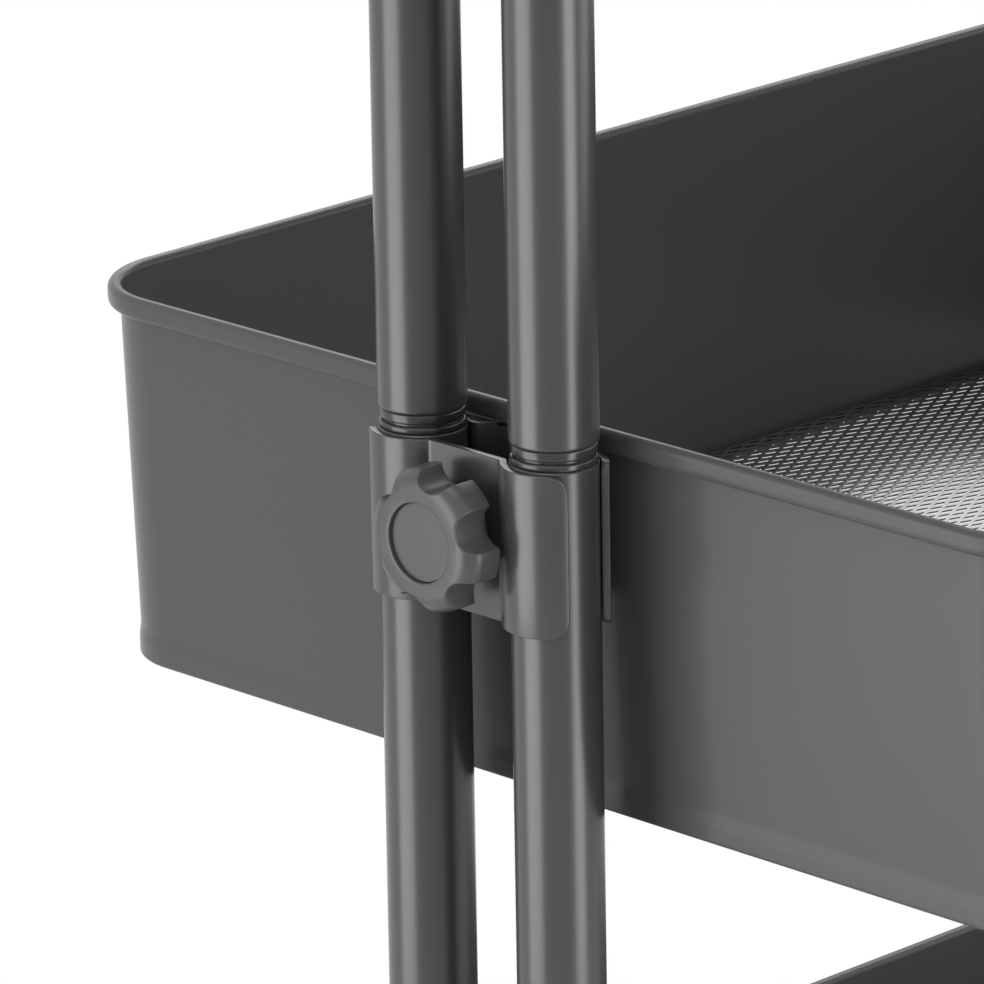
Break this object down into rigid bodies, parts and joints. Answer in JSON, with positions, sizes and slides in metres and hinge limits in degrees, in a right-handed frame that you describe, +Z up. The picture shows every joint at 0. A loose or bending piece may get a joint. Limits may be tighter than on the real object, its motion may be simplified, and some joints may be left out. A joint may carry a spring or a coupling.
{
  "type": "three-tier rolling cart",
  "caption": "Rolling office cart: mesh-floored steel baskets between twin tubular uprights with handles, clamp plates with star knobs, and swivel casters, some with brakes.",
  "frame": {"origin": "on the ground, under the centre of the cart's bounding box", "axes": "+X along the baskets from one handle to the other, +Y across them, +Z up"},
  "size_m": [0.477, 0.339, 0.86],
  "materials": {
    "powder_coat": "satin",
    "knob_plastic": "fine matt grain",
    "black_plastic": "matt",
    "plated_steel": "zinc plated",
    "tyre_rubber": "matt rubber"
  },
  "bodies": {
    "frame": {"lower_upright_left_front": "powder_coat", "lower_upright_left_rear": "powder_coat", "lower_upright_right_front": "powder_coat", "lower_upright_right_rear": "powder_coat", "handle_frame_left": "powder_coat", "handle_frame_right": "powder_coat", "joint_collars_left": "black_plastic", "joint_collars_right": "black_plastic", "top_basket": "powder_coat", "bottom_basket": "powder_coat", "top_floor_mesh": "powder_coat", "bottom_floor_mesh": "powder_coat", "top_front_plates": "powder_coat", "bottom_front_plates": "powder_coat", "top_back_plates": "powder_coat", "bottom_back_plates": "powder_coat", "top_rivets": "plated_steel", "bottom_rivets": "plated_steel", "top_clamp_bolts": "plated_steel", "bottom_clamp_bolts": "plated_steel", "top_cap_nuts": "plated_steel", "bottom_cap_nuts": "plated_steel", "caster_sockets": "black_plastic", "caster_stems": "plated_steel"},
    "middle_basket": {"middle_basket": "powder_coat", "middle_floor_mesh": "powder_coat", "middle_back_plates": "powder_coat", "middle_rivets": "plated_steel", "middle_clamp_bolts": "plated_steel"},
    "clamp_plate_left": {"middle_front_plate_left": "powder_coat"},
    "clamp_knob_left": {"knob_left": "knob_plastic", "knob_insert_left": "plated_steel", "knob_cap_left": "knob_plastic"},
    "clamp_plate_right": {"middle_front_plate_right": "powder_coat"},
    "clamp_knob_right": {"knob_right": "knob_plastic", "knob_insert_right": "plated_steel", "knob_cap_right": "knob_plastic"},
    "caster_left_front": {"fork_left_front": "black_plastic", "axle_left_front": "plated_steel", "brake_pin_left_front": "plated_steel"},
    "rolling_wheel_left_front": {"wheel_left_front": "black_plastic", "tyre_left_front": "tyre_rubber"},
    "brake_left_front": {"brake_pedal_left_front": "black_plastic"},
    "caster_left_rear": {"fork_left_rear": "black_plastic", "axle_left_rear": "plated_steel", "brake_pin_left_rear": "plated_steel"},
    "rolling_wheel_left_rear": {"wheel_left_rear": "black_plastic", "tyre_left_rear": "tyre_rubber"},
    "brake_left_rear": {"brake_pedal_left_rear": "black_plastic"},
    "caster_right_front": {"fork_right_front": "black_plastic", "axle_right_front": "plated_steel"},
    "rolling_wheel_right_front": {"wheel_right_front": "black_plastic", "tyre_right_front": "tyre_rubber"},
    "caster_right_rear": {"fork_right_rear": "black_plastic", "axle_right_rear": "plated_steel"},
    "rolling_wheel_right_rear": {"wheel_right_rear": "black_plastic", "tyre_right_rear": "tyre_rubber"}
  },
  "joints": [
    {"name": "middle_basket_slide", "type": "slide", "parent": "frame", "child": "middle_basket", "axis": [0, 0, 1], "range_m": [-0.12, 0.1]},
    {"name": "plate_slide_left", "type": "slide", "parent": "middle_basket", "child": "clamp_plate_left", "axis": [-1, 0, 0], "range_m": [0, 0.00125]},
    {"name": "knob_turn_left", "type": "hinge", "parent": "clamp_plate_left", "child": "clamp_knob_left", "pos_m": [-0.2225, 0, 0.4451], "axis": [-1, 0, 0], "range_deg": [0, 360]},
    {"name": "plate_slide_right", "type": "slide", "parent": "middle_basket", "child": "clamp_plate_right", "axis": [1, 0, 0], "range_m": [0, 0.00125]},
    {"name": "knob_turn_right", "type": "hinge", "parent": "clamp_plate_right", "child": "clamp_knob_right", "pos_m": [0.2225, 0, 0.4451], "axis": [1, 0, 0], "range_deg": [0, 360]},
    {"name": "caster_swivel_left_front", "type": "hinge", "parent": "frame", "child": "caster_left_front", "pos_m": [-0.2142, -0.145, 0.068], "axis": [0, 0, 1], "continuous": true},
    {"name": "wheel_roll_left_front", "type": "hinge", "parent": "caster_left_front", "child": "rolling_wheel_left_front", "pos_m": [-0.1942, -0.145, 0.025], "axis": [0, 1, 0], "continuous": true},
    {"name": "brake_press_left_front", "type": "hinge", "parent": "caster_left_front", "child": "brake_left_front", "pos_m": [-0.1822, -0.145, 0.0515], "axis": [0, 1, 0], "range_deg": [0, 14]},
    {"name": "caster_swivel_left_rear", "type": "hinge", "parent": "frame", "child": "caster_left_rear", "pos_m": [-0.2142, 0.145, 0.068], "axis": [0, 0, 1], "continuous": true},
    {"name": "wheel_roll_left_rear", "type": "hinge", "parent": "caster_left_rear", "child": "rolling_wheel_left_rear", "pos_m": [-0.1942, 0.145, 0.025], "axis": [0, 1, 0], "continuous": true},
    {"name": "brake_press_left_rear", "type": "hinge", "parent": "caster_left_rear", "child": "brake_left_rear", "pos_m": [-0.1822, 0.145, 0.0515], "axis": [0, 1, 0], "range_deg": [0, 14]},
    {"name": "caster_swivel_right_front", "type": "hinge", "parent": "frame", "child": "caster_right_front", "pos_m": [0.2142, -0.145, 0.068], "axis": [0, 0, 1], "continuous": true},
    {"name": "wheel_roll_right_front", "type": "hinge", "parent": "caster_right_front", "child": "rolling_wheel_right_front", "pos_m": [0.1942, -0.145, 0.025], "axis": [0, 1, 0], "continuous": true},
    {"name": "caster_swivel_right_rear", "type": "hinge", "parent": "frame", "child": "caster_right_rear", "pos_m": [0.2142, 0.145, 0.068], "axis": [0, 0, 1], "continuous": true},
    {"name": "wheel_roll_right_rear", "type": "hinge", "parent": "caster_right_rear", "child": "rolling_wheel_right_rear", "pos_m": [0.1942, 0.145, 0.025], "axis": [0, 1, 0], "continuous": true}
  ],
  "couplings": [
    {"joint": "knob_turn_left", "follows": "plate_slide_left", "rad_per_m": 5026.5},
    {"joint": "knob_turn_right", "follows": "plate_slide_right", "rad_per_m": 5026.5}
  ]
}
